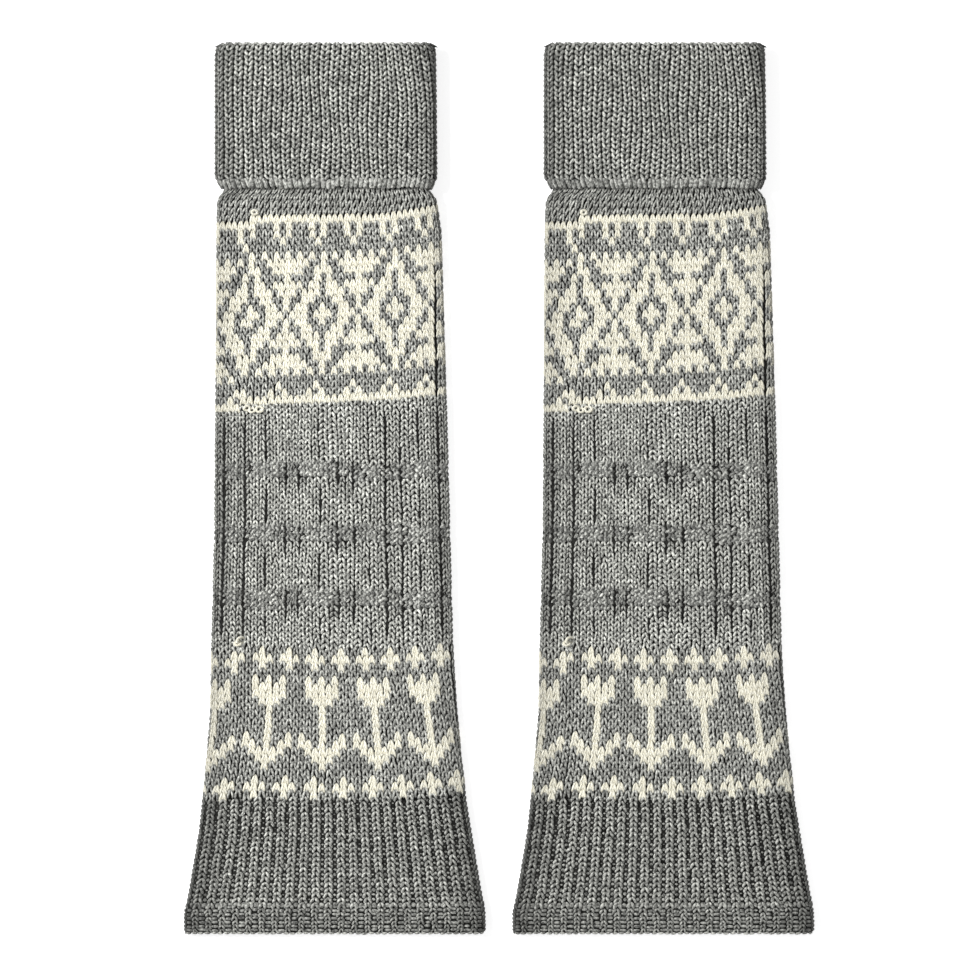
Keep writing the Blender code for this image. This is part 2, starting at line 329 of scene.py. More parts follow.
def body_ring(y):
    """A ring of the body's shell at y."""
    left, right = read_table(BODY_EDGES, y, 1) + SHELL_INSET, read_table(BODY_EDGES, y, 2) - SHELL_INSET
    low, high = read_table(BODY_LEVELS, y, 1) + SHELL_INSET, read_table(BODY_LEVELS, y, 2) - SHELL_INSET
    return (y, left, right, low, high)


shells = {}
for side, middle in WARMER_MIDDLES.items():
    for part, heights in (("shaft", SHAFT_RINGS_Y), ("ribbing", RIBBING_RINGS_Y), ("hem", HEM_RINGS_Y)):
        shells[part, side] = cloth_tube(part + "_cloth_" + side, middle, [body_ring(y) for y in heights])
print("body shells:", {name: len(piece.data.polygons) for name, piece in shells.items()})

# %% [markdown]
# ## The shell of a turned-down cuff
#
# The cuff is twice the tube's wall: its outer leg comes up, rolls over at the top and goes down inside,
# where it meets the shaft. The same extruding makes it in one piece. Only the rings change: they run up
# the outer leg, round a quarter and another quarter of a circle, and back down.

# %% Shells of the cuffs
CUFF_RINGS_Y = (138.3, 141.0, 143.8, 199.0, FOLD_START_Y)
FOLD_ANGLES = (30, 60, 90, 120, 150, 180)
END_MARGIN = 0.2
INNER_RINGS_Y = (199.0, 143.8, CUFF_SEAM_Y + END_MARGIN)


def cuff_ring(y, turn):
    """A ring of the cuff's shell; turn is how far round the fold it lies, in degrees."""
    angle = math.radians(turn)
    inset = FOLD_RADIUS - (FOLD_RADIUS - SHELL_INSET) * math.cos(angle)
    y = y + (FOLD_RADIUS - SHELL_INSET) * math.sin(angle)
    left, right = read_table(CUFF_EDGES, y, 1) + inset, read_table(CUFF_EDGES, y, 2) - inset
    return (y, left, right, inset, CUFF_HEIGHT - inset)


cuff_rings = [cuff_ring(y, 0) for y in CUFF_RINGS_Y]
cuff_rings += [cuff_ring(FOLD_START_Y, turn) for turn in FOLD_ANGLES]
cuff_rings += [cuff_ring(y, 180) for y in INNER_RINGS_Y]
for side, middle in WARMER_MIDDLES.items():
    shells["cuff", side] = cloth_tube("cuff_cloth_" + side, middle, cuff_rings)
print("cuff shells:", [len(shells["cuff", side].data.polygons) for side in WARMER_MIDDLES])

# %% [markdown]
# ## One stitch, modelled once
#
# On the outside of plain knitting every stitch shows two legs that lean together into an arrow. The
# arrows of the shaft point up to the cuff, and those of the cuff point down, because it is turned over. A
# leg starts as a small sphere with its poles on the leg's ends. Its rings are moved and scaled one by
# one: the foot is thin and lies deep, where the next stitch covers it, and the shoulder is thick and lies
# on top. The second leg is a mirrored copy. Sculpting every stitch would look more natural, but there are
# many thousands, so a leg has to stay a few dozen faces.

# %% Modelling a leg of yarn
# Each station of a strand: how far along, how far across, its height, and its half width and half height.
# The two tips have no width.
LEG_STATIONS = (
    (-1.58, -0.36, -1.30),
    (-1.20, -0.37, -1.02, 0.15, 0.40),
    (-0.74, -0.295, -0.64, 0.205, 0.56),
    (-0.27, -0.165, -0.52, 0.185, 0.50),
    (0.04, -0.04, -0.62),
)
# A cream leg lies higher, and shows its foot over a grey stitch
CREAM_LEG_STATIONS = (
    (-1.62, -0.42, -1.00),
    (-1.24, -0.40, -0.68, 0.17, 0.45),
    (-0.74, -0.29, -0.56, 0.22, 0.54),
    (-0.26, -0.15, -0.48, 0.19, 0.48),
    (0.08, -0.03, -0.60),
)
UNDER_LEG_STATIONS = (
    (-1.55, -0.20, -1.10),
    (-1.05, -0.30, -0.75, 0.19, 0.50),
    (-0.40, -0.20, -0.55, 0.19, 0.50),
    (0.00, -0.05, -0.62),
)
# In a rib the legs slant from the column's middle to its edges
RIB_LEG_STATIONS = (
    (-1.60, -0.34, -1.35),
    (-1.16, -0.36, -0.98, 0.13, 0.42),
    (-0.74, -0.295, -0.60, 0.195, 0.58),
    (-0.30, -0.17, -0.50, 0.185, 0.54),
    (0.06, -0.04, -0.75),
)
UNDER_RIB_LEG_STATIONS = (
    (-1.50, -0.34, -1.10),
    (-1.00, -0.32, -0.75, 0.18, 0.50),
    (-0.40, -0.20, -0.55, 0.18, 0.50),
    (0.02, -0.05, -0.64),
)
# A loop is an arch without feet, and a seed is a short plump bead
LOOP_STATIONS = (
    (-1.04, -0.22, -0.80),
    (-0.88, -0.24, -0.55, 0.21, 0.50),
    (-0.45, -0.25, -0.42, 0.24, 0.62),
    (-0.10, -0.17, -0.45, 0.20, 0.55),
    (0.03, 0.00, -0.65),
)
SEED_STATIONS = (
    (-0.50, -0.08, -0.75),
    (-0.24, -0.03, -0.50, 0.27, 0.48),
    (0.24, 0.03, -0.50, 0.27, 0.48),
    (0.50, 0.08, -0.75),
)
BAR_STATIONS = (
    (-0.50, 0.0, -0.80),
    (-0.32, 0.0, -0.55, 0.28, 0.40),
    (0.00, 0.0, -0.42, 0.38, 0.42),
    (0.32, 0.0, -0.55, 0.28, 0.40),
    (0.50, 0.0, -0.80),
)
UNDER_BAR_STATIONS = (
    (-0.50, 0.0, -0.80),
    (-0.20, 0.0, -0.45, 0.31, 0.42),
    (0.20, 0.0, -0.45, 0.31, 0.42),
    (0.50, 0.0, -0.80),
)
PAD_STATIONS = (
    (-1.30, 0.0, -0.80),
    (-0.95, 0.0, -0.68, 0.53, 0.44),
    (-0.35, 0.0, -0.68, 0.38, 0.44),
    (0.04, 0.0, -0.80),
)


TIP_RADIUS = 1e-6
SAME_RING = 0.01


def strand(name, sides, stations):
    """A closed tapered strand through its stations, from a sphere whose poles are its ends."""
    steps = len(stations) - 1
    bpy.ops.mesh.primitive_uv_sphere_add(
        segments=sides, ring_count=steps, radius=1, rotation=(math.pi / 2, 0, 0),
    )
    piece = bpy.context.object
    piece.name = name
    bpy.ops.object.transform_apply(location=False, rotation=True, scale=False)
    start = [point.co.y for point in piece.data.vertices]
    bpy.ops.object.mode_set(mode="EDIT")
    for number, (along, across, height, *halves) in enumerate(stations):
        ring_y = -math.cos(math.pi * number / steps)
        ring_radius = max(math.sin(math.pi * number / steps), TIP_RADIUS)
        ring = [index for index, y in enumerate(start) if abs(y - ring_y) < SAME_RING]
        select_points(piece, ring)
        factors = (halves[0] / ring_radius, 1, halves[1] / ring_radius) if halves else (1, 1, 1)
        bpy.ops.transform.resize(value=factors, center_override=(0, 0, 0))
        bpy.ops.transform.translate(value=(across, along - ring_y, height))
    bpy.ops.object.mode_set(mode="OBJECT")
    return piece


def mirror_leg(piece):
    """Adds the other leg of a stitch."""
    bpy.ops.object.mode_set(mode="EDIT")
    bpy.ops.mesh.select_all(action="SELECT")
    bpy.ops.mesh.duplicate()
    bpy.ops.transform.resize(value=(-1, 1, 1), center_override=(0, 0, 0))
    bpy.ops.mesh.flip_normals()
    bpy.ops.object.mode_set(mode="OBJECT")


def lay_across(piece):
    """Turns a strand a quarter round, so that it runs across the column."""
    bpy.ops.object.mode_set(mode="EDIT")
    bpy.ops.mesh.select_all(action="SELECT")
    bpy.ops.transform.rotate(value=math.pi / 2, orient_axis="Z", center_override=(0, 0, 0))
    bpy.ops.object.mode_set(mode="OBJECT")


def read_values(items, name, each, kind=float):
    """One property of all points, corners or faces, as a flat array."""
    values = np.zeros(len(items) * each, dtype=kind)
    items.foreach_get(name, values)
    return values


def take_pattern(piece):
    """Reads a modelled stitch into arrays, and removes it: it is only the pattern for its copies."""
    data = piece.data
    pattern = {
        "points": read_values(data.vertices, "co", 3).reshape(-1, 3),
        "corners": read_values(data.loops, "vertex_index", 1, np.int32),
        "sizes": read_values(data.polygons, "loop_total", 1, np.int32),
        "map": read_values(data.uv_layers[0].data, "uv", 2),
    }
    pattern["triangles"] = int((pattern["sizes"] - 2).sum())
    bpy.data.objects.remove(piece, do_unlink=True)
    return pattern


def stitch_pattern(name, sides, stations, two_legs=False, across=False):
    """A stitch's pattern: one strand, or two mirrored legs, along the column or across it."""
    piece = strand(name, sides, stations)
    if two_legs:
        mirror_leg(piece)
    if across:
        lay_across(piece)
    return take_pattern(piece)


arrow = stitch_pattern("arrow", 5, LEG_STATIONS, two_legs=True)
cream_arrow = stitch_pattern("cream_arrow", 5, CREAM_LEG_STATIONS, two_legs=True)
under_arrow = stitch_pattern("under_arrow", 3, UNDER_LEG_STATIONS, two_legs=True)
rib_arrow = stitch_pattern("rib_arrow", 5, RIB_LEG_STATIONS, two_legs=True)
under_rib_arrow = stitch_pattern("under_rib_arrow", 3, UNDER_RIB_LEG_STATIONS, two_legs=True)
loop = stitch_pattern("loop", 5, LOOP_STATIONS, two_legs=True)
seed = stitch_pattern("seed", 4, SEED_STATIONS)
bar = stitch_pattern("bar", 5, BAR_STATIONS, across=True)
under_bar = stitch_pattern("under_bar", 4, UNDER_BAR_STATIONS, across=True)
pad = stitch_pattern("pad", 4, PAD_STATIONS)
print("triangles:", {"arrow": arrow["triangles"], "under": under_arrow["triangles"], "bar": bar["triangles"]})

# %% [markdown]
# ## Laying stitches on the cloth
#
# A stitch has a place (its share of the tube's width and its y), a width, a height and a few small
# changes that make it a stitch of its own. All copies of one pattern are worked out together as arrays:
# each point's place along and across the stitch becomes a place on the tube, and its height becomes a
# depth below the tube's outside. Instances on a surface would be lighter, but a library part needs plain
# meshes.

# %% From places to stitches
draw = np.random.default_rng(20)
# Painted shade: stitches near the tube's two sides are painted darker, as the cloth turns from the light
# there; the band is wider on the left, where the main light falls
EDGE_SHADE = 0.42
TEXTURE_EDGE_SHADE = 0.55
DEEP_EDGE_SHADE = 0.78
LEFT_EDGE_SHARE = 0.20
RIGHT_EDGE_SHARE = 0.17
# How much one stitch differs from the next: its lean, place, row, depth and thickness
LEAN_NOISE = 0.035
PLACE_NOISE = 0.035
ROW_NOISE = 0.045
SINK_NOISE = 0.07
SWELL_NOISE = 0.06
# How many spreads the darkest and the lightest stitch may lie off
DARKEST = 2
LIGHTEST = 1.8


def stitches(
    share, y, width, height, under=False, sink=0.0, lean=0.0, crown=0.0, wobble=1.0, shade=1.0,
    fuller=1.0, edge_shade=EDGE_SHADE, spread=0.12,
):
    """A set of stitches as arrays. Width is a share of the tube's width, and height is in millimetres."""
    share, y = np.broadcast_arrays(np.asarray(share, float), np.asarray(y, float))
    count = share.size
    cells = {"share": share.ravel(), "y": y.ravel(), "under": under}
    given = {"width": width, "height": height, "sink": sink, "lean": lean, "crown": crown}
    for name, value in given.items():
        cells[name] = np.broadcast_to(np.asarray(value, float), share.shape).ravel().copy()
    cells["lean"] = cells["lean"] + draw.normal(0, LEAN_NOISE, count) * wobble
    cells["share"] = cells["share"] + draw.normal(0, PLACE_NOISE, count) * cells["width"] * wobble
    cells["y"] = cells["y"] + draw.normal(0, ROW_NOISE, count) * np.abs(cells["height"]) * wobble
    cells["sink"] = cells["sink"] + np.abs(draw.normal(0, SINK_NOISE, count)) * wobble
    cells["swell"] = fuller * (1 + draw.normal(0, SWELL_NOISE, count) * wobble)
    # Painted shade near the sides, times a random tone of each stitch's own
    near_left = np.clip(1 - cells["share"] / LEFT_EDGE_SHARE, 0, 1)
    near_edge = np.maximum(near_left, np.clip(1 - (1 - cells["share"]) / RIGHT_EDGE_SHARE, 0, 1))
    own_shade = np.clip(draw.normal(1, spread, count), 1 - DARKEST * spread, 1 + LIGHTEST * spread)
    cells["shade"] = shade * own_shade * (1 - edge_shade * near_edge ** 2)
    return cells


def only(cells, keep):
    """The stitches for which keep is true."""
    return {name: value if name == "under" else value[keep] for name, value in cells.items()}


def lay(pattern, cells, surface):
    """The points of every copy of a pattern, laid on a surface, and each point's shade."""
    across, along, height = (pattern["points"][:, axis] for axis in range(3))
    one = {name: value[:, None] for name, value in cells.items() if name != "under"}
    offset = across * one["swell"]
    share = one["share"] + (offset + one["lean"] * along) * one["width"]
    y = one["y"] + along * one["height"]
    sink = one["sink"] + one["crown"] * (2 * across) ** 2 - height * (0.5 + 0.5 * one["swell"])
    points = surface(share, y, np.maximum(sink, 0.0), cells["under"])
    shade = np.repeat(cells["shade"], len(pattern["points"]))
    return points.reshape(-1, 3), shade


def knit_mesh(name, parts, middle, material):
    """Joins laid copies of patterns into one mesh: parts is a list of (pattern, cells, surface)."""
    laid = []
    base = 0
    for pattern, cells, surface in parts:
        points, shade = lay(pattern, cells, surface)
        count, each = len(cells["share"]), len(pattern["points"])
        starts = base + np.arange(count) * each
        corners = (starts[:, None] + pattern["corners"]).ravel()
        sizes, strand_map = np.tile(pattern["sizes"], count), np.tile(pattern["map"], count)
        laid.append((points, shade, corners, sizes, strand_map))
        base += count * each
    points, shades, corners, sizes, strand_map = (np.concatenate(kind) for kind in zip(*laid))
    points = (points + (middle, 0, 0)) * MM
    corners = corners.astype(np.int32)
    sizes = sizes.astype(np.int32)
    mesh = bpy.data.meshes.new(name)
    mesh.vertices.add(len(points))
    mesh.vertices.foreach_set("co", points.ravel())
    mesh.loops.add(len(corners))
    mesh.loops.foreach_set("vertex_index", corners)
    mesh.polygons.add(len(sizes))
    mesh.polygons.foreach_set("loop_start", (np.cumsum(sizes) - sizes).astype(np.int32))
    mesh.polygons.foreach_set("loop_total", sizes)
    mesh.update(calc_edges=True)
    mesh.uv_layers.new(name="strand").data.foreach_set("uv", strand_map)
    colour = np.stack([shades, shades, shades, np.ones_like(shades)], axis=-1)
    mesh.attributes.new("shade", "FLOAT_COLOR", "POINT").data.foreach_set("color", colour.ravel())
    mesh.validate()
    mesh.shade_smooth()
    mesh.materials.append(material)
    piece = bpy.data.objects.new(name, mesh)
    bpy.context.scene.collection.objects.link(piece)
    count = sum(len(cells["share"]) for _, cells, _ in parts)
    print(name, "stitches", count, "triangles", int((sizes - 2).sum()))
    return piece


def grid(rows, columns):
    """Every row with every column, as two flat arrays."""
    rows, columns = np.meshgrid(rows, columns, indexing="ij")
    return rows.ravel(), columns.ravel()


pieces = {}

# %% [markdown]
# ## Where the rows and columns of the shaft run
#
# There are 72 stitches round the shaft, 39 of them on the side that shows. The rows are 3.3 mm high in
# the patterned bands and 2.5 mm in the textured zone, where the yarn draws the cloth together. No row
# lies straight: the tube was knitted in a spiral, so the rows step by one where the round begins, near
# the left edge, and they bend a little towards both sides. A table of shifts over the columns, at a few
# heights, gives that.

# %% Rows, columns and shifts
FRONT_COLUMNS = 39
UNDER_COLUMNS = 33
ROUND_COLUMNS = FRONT_COLUMNS + UNDER_COLUMNS
FIRST_COLUMN_AT = 0.213
BAND_TOP_Y = 126.6
BAND_ROW = 3.26
BAND_ROWS = 26
PLAIN_ROWS_ABOVE = 5
TEXTURE_ROW = 2.505
LOWER_TOP_Y = -73.0
LOWER_ROW = 3.31
LOWER_ROWS = 21

SHIFT_COLUMNS = (0, 5.4, 5.6, 20, 28, 38)
# y, then the shift of a row at each of those columns, in millimetres. Read by eye from the rows of motifs,
# apart from the level that all rows share, which follows an earlier measurement by a script.
ROW_SHIFTS = (
    (205.0, -3.6, -3.4, -0.4, -0.3, 0.2, 4.3),
    (126.6, -3.6, -3.4, -0.4, -0.3, 0.2, 4.3),
    (80.0, -6.4, -6.2, -3.2, -1.6, 0.4, 3.8),
    (42.0, -6.2, -6.0, -2.7, -1.5, -0.5, 2.0),
    (-79.0, -1.7, -1.5, 1.2, -0.5, -0.3, 1.9),
    (-137.0, -0.6, -0.4, 1.2, 0.3, 0.9, 3.7),
    (-206.0, 0.0, 0.0, 0.0, 0.0, 0.0, 0.0),
)
DRIFT_COLUMNS = (5, 11, 20, 35)
# y, then each column's drift to the right, in millimetres, read from the middles of the motifs
COLUMN_DRIFTS = (
    (117.0, 1.7, 2.0, 1.5, 1.2),
    (80.0, 0.4, 0.2, 0.0, 0.2),
    (48.0, -2.9, -0.7, -0.2, 0.0),
    (-79.0, -2.4, -0.9, -1.0, -2.4),
    (-109.0, -2.3, -1.5, -1.0, -0.4),
    (-137.0, -4.6, -3.0, -1.1, 1.8),
)
FRONT_WIDTH = 106.0


def table_at(table, table_columns, column, y):
    """Reads a table of rows at y and column; round the back it runs straight from edge to edge."""
    rows = np.array(table)[::-1]
    at_y = [np.interp(y, rows[:, 0], rows[:, index + 1]) for index in range(len(table_columns))]
    at_y = np.stack(at_y + at_y[:1], axis=-1)
    round_columns = np.array(table_columns + (table_columns[0] + ROUND_COLUMNS,), float)
    flat_column, flat_rows = np.ravel(column), at_y.reshape(-1, len(round_columns))
    values = [np.interp(value, round_columns, row) for value, row in zip(flat_column, flat_rows)]
    return np.array(values).reshape(np.shape(column))


def shift_at(column, y):
    """How far a row is shifted up at a column."""
    return table_at(ROW_SHIFTS, SHIFT_COLUMNS, column, y)


def drift_at(column, y):
    """How far a column drifts round the tube at y, to the right in front, as a share of the tube's width."""
    return table_at(COLUMN_DRIFTS, DRIFT_COLUMNS, column, y) / FRONT_WIDTH


def column_share(column):
    """A column's share of the tube's width, in front or underneath."""
    under = column >= FRONT_COLUMNS
    front_share = (column + FIRST_COLUMN_AT) / FRONT_COLUMNS
    under_share = 1 - (column - FRONT_COLUMNS + 0.5) / UNDER_COLUMNS
    return np.where(under, under_share, front_share)


row_tops = [BAND_TOP_Y + BAND_ROW * number for number in range(PLAIN_ROWS_ABOVE, 0, -1)]
row_tops += [BAND_TOP_Y - BAND_ROW * number for number in range(BAND_ROWS)]
print("rows down to the textured zone:", len(row_tops), "last at", row_tops[-1])

# %% [markdown]
# ## The charts of the two bands
#
# Knitters write colourwork as a chart, a row of squares for every row of knitting: here # is a cream
# stitch and a dot is a grey one. Diamonds, little trees, crosses and tulips are old knitting motifs. The
# upper chart is 12 stitches wide and is read to its middle row and back; the lower one is 8 wide. A chart
# keeps every motif's edge in whole stitches, which a pattern painted by a texture would not.

# %% Charts
HALF_BAND_CHART = (
    "############",
    "#...#.#...#.",
    "#...#.#...#.",
    ".....#.....#",
    "............",
    "#.#.#.#.#.#.",
    "#..#######..",
    "##..#####..#",
    ".#....#....#",
    ".##.#####.##",
    ".###.###.###",
    "..##..#..##.",
    "#..##.#.##..",
    "##.###.###.#",
)
BAND_FOOT_CHART = (
    "............",
    ".....#.....#",
    "#...#.#...#.",
    "############",
)
BAND_CHART = HALF_BAND_CHART + HALF_BAND_CHART[12:4:-1] + BAND_FOOT_CHART
CROSS_CHART = ("...#...#", "#.###.##", "...#...#")
TULIP_CHART = (
    "..#.#.#.", "..#####.", "..#####.", "...###..", "....#...", "....#...", "....#...", "....#...",
    ".#..#..#", ".##.#.##", "..#####.", "...###..", "....#...",
)
GREY_ROW = ("........",)
LOWER_CHART = CROSS_CHART + GREY_ROW + TULIP_CHART + GREY_ROW + CROSS_CHART
DIAMOND_COLUMN = 6
TULIP_COLUMN = -2
SEAM_MARGIN = 0.1


def is_cream(chart, row, column, first_column):
    """Whether a chart has a cream stitch at that row and column."""
    line = chart[row]
    return line[int(column - first_column) % len(line)] == "#"


def band_cells(chart, top_y, row_height, first_column, plain_above=0):
    """All stitches of a band: their columns, their y, which are cream, and which lie above the chart."""
    rows, columns = grid(np.arange(-plain_above, len(chart)), np.arange(ROUND_COLUMNS))
    y = top_y - rows * row_height
    y = y + shift_at(columns, y)
    places = zip(rows, columns)
    cream = np.array([row >= 0 and is_cream(chart, row, column, first_column) for row, column in places])
    inside = y < CUFF_SEAM_Y - SEAM_MARGIN
    return columns[inside], y[inside], cream[inside], rows[inside] < 0


print("band chart:", len(BAND_CHART), "rows; lower chart:", len(LOWER_CHART), "rows")

# %% [markdown]
# ## The two patterned bands
#
# Grey and cream stitches lie side by side in the same rows. Behind a cream stitch the cloth is cream too,
# so each one gets a small flat pad of yarn under it, which shows as a warm dot where two legs part. The
# rows just below the cuff are pulled aside by it, so their stitches lean. Near the right edge of the
# upper band the cloth is creased, and the last columns stand off a little, with a dark line beside them.

# %% Stitches of the bands
COLUMN_SHARE = 1 / FRONT_COLUMNS
UNDER_COLUMN_SHARE = 1 / UNDER_COLUMNS
LEAN_BELOW_CUFF = 0.32
CREAM_LOOK = {"fuller": 1.05, "shade": 1.03, "spread": 0.04}
CREASE_COLUMN = 37
# y, then how wide the crease is there, in millimetres
CREASE_WIDTHS = ((112.0, 0.0), (98.0, 1.0), (60.0, 1.25), (41.0, 1.25))
# How far the column before the crease, the one at it and those after it move aside, in widths of the crease
CREASE_PUSHES = [-0.2, 0.8, 0.3]


def crease_shift(columns, y):
    """How far the columns beside the crease stand off from it, as a share of the tube's width."""
    width = read_table(CREASE_WIDTHS, y, 1) * (y > CREASE_WIDTHS[-1][0])
    which = [columns == CREASE_COLUMN - 1, columns == CREASE_COLUMN, columns > CREASE_COLUMN]
    beside = np.select(which, CREASE_PUSHES)
    return width / FRONT_WIDTH * beside * (columns < FRONT_COLUMNS)


def band_parts(columns, y, cream, row_height, lean):
    """Grey and cream stitches of a band, in front and underneath."""
    under = columns >= FRONT_COLUMNS
    share = column_share(columns) + np.where(under, -1, 1) * drift_at(columns, y) + crease_shift(columns, y)
    parts = {}
    for side, side_mask, width, pattern in (
        ("front", ~under, COLUMN_SHARE, arrow), ("under", under, UNDER_COLUMN_SHARE, under_arrow),
    ):
        for colour, mask in (("grey", ~cream), ("cream", cream)):
            keep = side_mask & mask
            cells = stitches(
                share[keep], y[keep], width, row_height, under=side == "under", lean=lean[keep],
                **(CREAM_LOOK if colour == "cream" else {}),
            )
            chosen = cream_arrow if pattern is arrow and colour == "cream" else pattern
            parts[side, colour] = [(chosen, cells, body_surface)]
            if colour == "cream":
                pads = dict(cells, swell=np.ones_like(cells["swell"]))
                parts[side, colour].append((pad, pads, body_surface))
    return parts


upper_columns, upper_y, upper_cream, upper_plain = band_cells(
    BAND_CHART, BAND_TOP_Y, BAND_ROW, DIAMOND_COLUMN, PLAIN_ROWS_ABOVE,
)
upper_parts = band_parts(upper_columns, upper_y, upper_cream, BAND_ROW, LEAN_BELOW_CUFF * upper_plain)
lower_columns, lower_y, lower_cream, lower_plain = band_cells(
    LOWER_CHART, LOWER_TOP_Y, LOWER_ROW, TULIP_COLUMN,
)
lower_parts = band_parts(lower_columns, lower_y, lower_cream, LOWER_ROW, LEAN_BELOW_CUFF * lower_plain)
print("stitches in the bands:", len(upper_y) + len(lower_y))

# %% [markdown]
# ## The textured zone
#
# Between the bands the cloth is plain grey, drawn into upright panels by sunk columns. The panels are two
# or three stitches wide, with a dark furrow between them. Three times, a few rows of seed stitch cross
# the panels: there only short beads of yarn show, set like a chequerboard, the cloth sinks a little, and
# most furrows close.

# %% Stitches of the textured zone
# Each furrow's share of the width, its strength, and whether it is always open, or only away from the
# seeds or near them. The rows step at one, and the column that ends there has one more stitch at its top.
STEP_SHARE = .143
FURROWS = (
    (.0574, 1.4, "always"), (STEP_SHARE, 1.4, "always"), (.2296, 1.2, "away"), (.3117, 1.3, "near"),
    (.3653, 1.0, "near"), (.451, 0.9, "away"), (.525, 1.3, "near"), (.591, 1.3, "near"),
    (.656, 0.8, "away"), (.7223, 1.2, "always"), (.7875, 1.0, "always"), (.8616, 0.9, "away"),
    (.9437, 1.3, "always"),
)
# Over how many millimetres a furrow closes: at its foot, outside the seeds, and towards them
FOOT_FADE = 6
AWAY_FADE = 4
NEAR_FADE = 6
# Over how many rows it opens below the upper band
TOP_FADE_ROWS = 3
FURROW_WANDER = 0.0035
WANDER_LENGTH = 11
WANDER_START = 60
WIDE_PANEL = 0.078
FURROW_MARGIN = 0.0028
FURROW_SINK = 0.35
TEXTURE_TOP_Y = 41.9
# Painted light: the textured zone's grey is painted lighter than the same yarn elsewhere
TEXTURE_PAINTED_LIGHT = 1.32
TEXTURE_ROWS = 46
FURROW_FOOT_Y = -68.0
SEED_ROWS = ((4.6, 12.0), (-25.0, -16.6), (-54.6, -46.8))
SEED_SINK = 0.12
# Painted light and shade: raised seeds are painted a little lighter, sunk ones darker
SEED_SHADE = 1.05
DEEP_SEED_SINK = 0.45
DEEP_SEED_SHADE = 0.7
DEEPEST_SEED = 0.75
SEED_LEAN = 0.35
# The four seeds of a stitch: side, how many rows down, depth and shade, painted lighter on raised seeds and
# darker on sunk ones
SEEDS = (
    (-1, 0.25, SEED_SINK, SEED_SHADE), (1, 0.75, SEED_SINK, SEED_SHADE),
    (1, 0.25, DEEP_SEED_SINK, DEEP_SEED_SHADE), (-1, 0.75, DEEP_SEED_SINK, DEEP_SEED_SHADE),
)
# Painted shadow: stitches beside an open furrow or in a dimple are painted darker, as well as sunk
FURROW_SHADOW = 0.12
DIMPLE_SINK = 0.4
DIMPLE_SHADOW = 0.35
DIMPLE_WIDTH = 0.02
DIMPLE_HEIGHT = 3.4
DIMPLE_CHANCE = 0.62
DIMPLE_ASIDE = 0.007
DIMPLE_UP = 1.5
DIMPLE_STRENGTHS = (0.4, 1.0)


def seed_distance(y):
    """How far y lies from the nearest band of seed stitch, in millimetres; 0 inside one."""
    away = [np.maximum(np.maximum(low - y, y - high), 0) for low, high in SEED_ROWS]
    return np.minimum.reduce(away)


def openness(furrow, y):
    """How far a furrow is open at y: 0 is closed, as all are in the last rows."""
    strength, kind = furrow[1] * np.clip((y - FURROW_FOOT_Y) / FOOT_FADE, 0, 1), furrow[2]
    away = np.clip(seed_distance(y) / AWAY_FADE, 0, 1)
    near = np.clip(1 - seed_distance(y) / NEAR_FADE, 0, 1)
    return strength * {"edge": 0 * y, "always": 1 + 0 * y, "away": away, "near": near}[kind]


def furrow_share(furrow, y):
    """Where a furrow lies at y: the inner ones wander a little."""
    share = furrow[0]
    wave = np.sin(y / WANDER_LENGTH + WANDER_START * share)
    return share + FURROW_WANDER * math.sin(math.pi * share) * wave


def make_dimples():
    """Places of the dimples where the seeds draw the cloth in, beside most furrows, and their strengths."""
    places = []
    for low, high in SEED_ROWS:
        for share, _, _ in FURROWS:
            for edge in (low, high):
                if draw.random() < DIMPLE_CHANCE:
                    place = share + draw.normal(0, DIMPLE_ASIDE)
                    height = edge + draw.normal(0, DIMPLE_UP)
                    places.append((place, height, draw.uniform(*DIMPLE_STRENGTHS)))
    return places


DIMPLES = make_dimples()


def dimple_depth(share, y):
    """How deep a stitch lies in a dimple, from 0 to 1; a row's own shift moves the dimples too."""
    depth = np.zeros_like(y)
    y = y - shift_at(share * FRONT_COLUMNS, y)
    for place, height, strength in DIMPLES:
        away = ((share - place) / DIMPLE_WIDTH) ** 2 + ((y - height) / DIMPLE_HEIGHT) ** 2
        depth = np.maximum(depth, strength * np.clip(1 - away, 0, 1))
    return depth


def panel_places():
    """Every column in front: its panel's two furrows, its place in the panel, and the panel's columns."""
    edges = ((0.0, 0.0, "edge"),) + FURROWS + ((1.0, 0.0, "edge"),)
    places = []
    for start, end in zip(edges, edges[1:]):
        outer = "edge" in (start[2], end[2])
        count = 2 if outer or end[0] - start[0] < WIDE_PANEL else 3
        places += [(start, end, number, count) for number in range(count)]
    return places


def front_columns():
    """Share, y and width of every stitch of the zone in front, and how open the furrow beside it is."""
    columns = []
    for start, end, number, count in panel_places():
        middle = start[0] + (end[0] - start[0]) * (number + 0.5) / count
        beside_step = end[0] == STEP_SHARE and number == count - 1
        rows = np.arange(-1 if beside_step else 0, TEXTURE_ROWS)
        y = TEXTURE_TOP_Y - TEXTURE_ROW * rows
        y = y + shift_at(np.full(len(rows), middle * FRONT_COLUMNS - FIRST_COLUMN_AT), y)
        below_band = np.clip(rows / TOP_FADE_ROWS, 0, 1)
        left_open, right_open = openness(start, y) * below_band, openness(end, y) * below_band
        low = furrow_share(start, y) + FURROW_MARGIN * left_open
        high = furrow_share(end, y) - FURROW_MARGIN * right_open
        width = (high - low) / count
        beside = left_open * (number == 0) + right_open * (number == count - 1)
        columns.append((low + width * (number + 0.5), y, width, beside))
    return np.concatenate([np.stack(column) for column in columns], axis=1)


def under_columns():
    """The same for the stitches underneath, where every third column is sunk."""
    rows, columns = grid(np.arange(TEXTURE_ROWS), np.arange(FRONT_COLUMNS, ROUND_COLUMNS))
    y = TEXTURE_TOP_Y - TEXTURE_ROW * rows
    y = y + shift_at(columns, y)
    beside = np.where((columns - FRONT_COLUMNS) % 3 == 0, 1.0, 0.0)
    return np.stack([column_share(columns), y, np.full(y.shape, UNDER_COLUMN_SHARE), beside])


